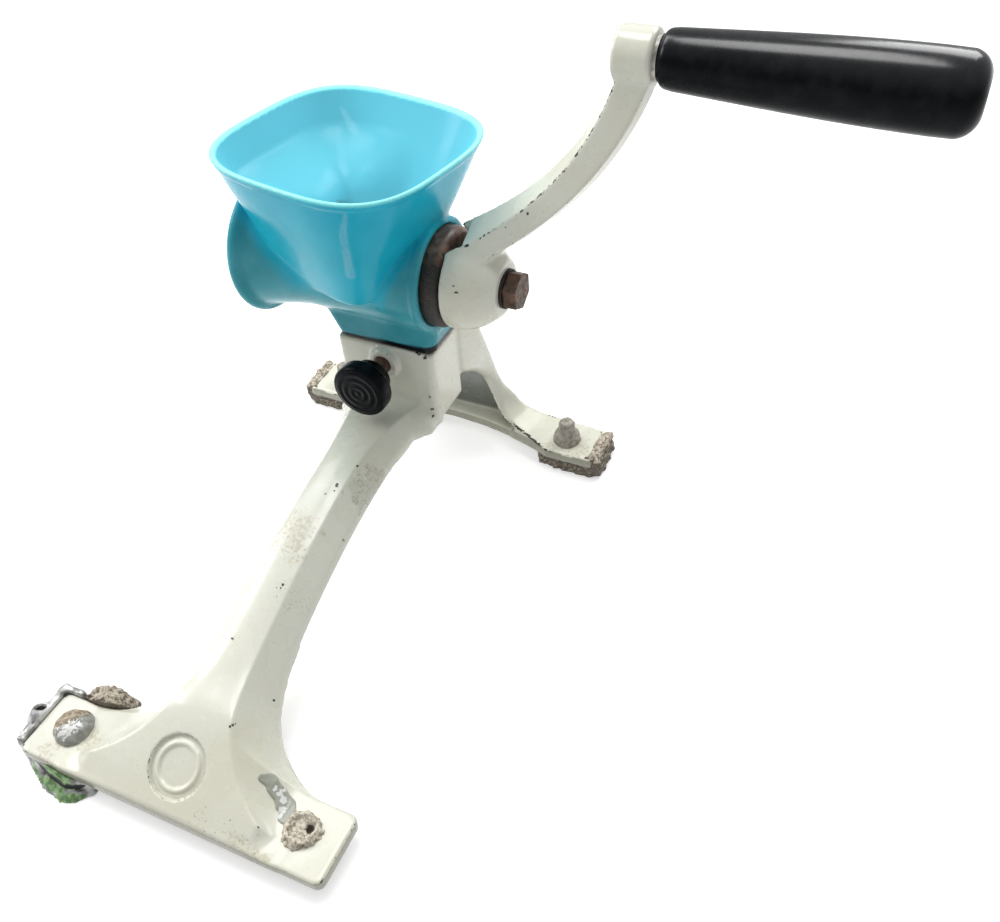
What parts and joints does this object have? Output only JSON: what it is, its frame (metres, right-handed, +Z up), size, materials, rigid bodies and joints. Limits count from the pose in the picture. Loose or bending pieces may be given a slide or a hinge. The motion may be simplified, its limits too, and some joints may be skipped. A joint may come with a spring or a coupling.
{
  "type": "bean slicer",
  "caption": "Hand-cranked kitchen slicer: a plastic hopper and barrel on a cast stand, with a slotted drum turned by a crank with a black grip.",
  "frame": {"origin": "on the bench, at the level bottom of the front left foot's pad, under that foot's bolt", "axes": "+X along the barrel towards the crank, +Y from the front foot to the rear foot, +Z up"},
  "size_m": [0.3175, 0.2901, 0.2499],
  "materials": {
    "cream_paint": "glossy, worn to dark metal at edges",
    "blue_plastic": "glossy",
    "black_plastic": "glossy",
    "brown_ring": "worn",
    "brown_steel": "browned",
    "steel": "dull",
    "bronze": "dull",
    "putty": "rough"
  },
  "bodies": {
    "stand": {"stand": "cream_paint", "front_bolt": "steel", "rear_bolts": "steel", "foot_nuts": "steel", "front_left_pad": "putty", "front_right_pad": "putty", "rear_pads": "putty", "putty_plug": "putty"},
    "body": {"housing": "blue_plastic", "spindle_bush": "bronze", "bearing_ring": "brown_ring"},
    "clamp": {"clamp_shoe": "steel"},
    "screw": {"thumb_screw": "brown_steel", "thumb_knob": "black_plastic"},
    "crank": {"spindle": "steel", "drum_shell": "steel", "drum_end_plate": "steel", "slicing_blades": "steel", "blade_rivets": "steel", "drum_nut": "steel", "crank_arm": "cream_paint", "crank_washer": "brown_steel", "crank_bolt": "brown_steel", "grip_pin": "steel", "grip_washer": "steel", "grip_end_washer": "steel"},
    "grip": {"grip": "black_plastic"}
  },
  "joints": [
    {"name": "body_lift", "type": "slide", "parent": "stand", "child": "body", "axis": [0, 0, 1], "range_m": [0, 0.04]},
    {"name": "screw_travel", "type": "slide", "parent": "stand", "child": "clamp", "axis": [0, -1, 0], "range_m": [0, 0.003]},
    {"name": "knob_turn", "type": "hinge", "parent": "clamp", "child": "screw", "pos_m": [0.058, 0.183, 0.0895], "axis": [0, -1, 0], "range_deg": [0, 766]},
    {"name": "crank_turn", "type": "hinge", "parent": "body", "child": "crank", "pos_m": [0.058, 0.2022, 0.1356], "axis": [1, 0, 0], "continuous": true},
    {"name": "grip_spin", "type": "hinge", "parent": "crank", "child": "grip", "pos_m": [0.178, 0.21967, 0.23569], "axis": [1, 0, 0], "continuous": true}
  ],
  "couplings": [
    {"joint": "knob_turn", "follows": "screw_travel", "rad_per_m": 4453}
  ]
}
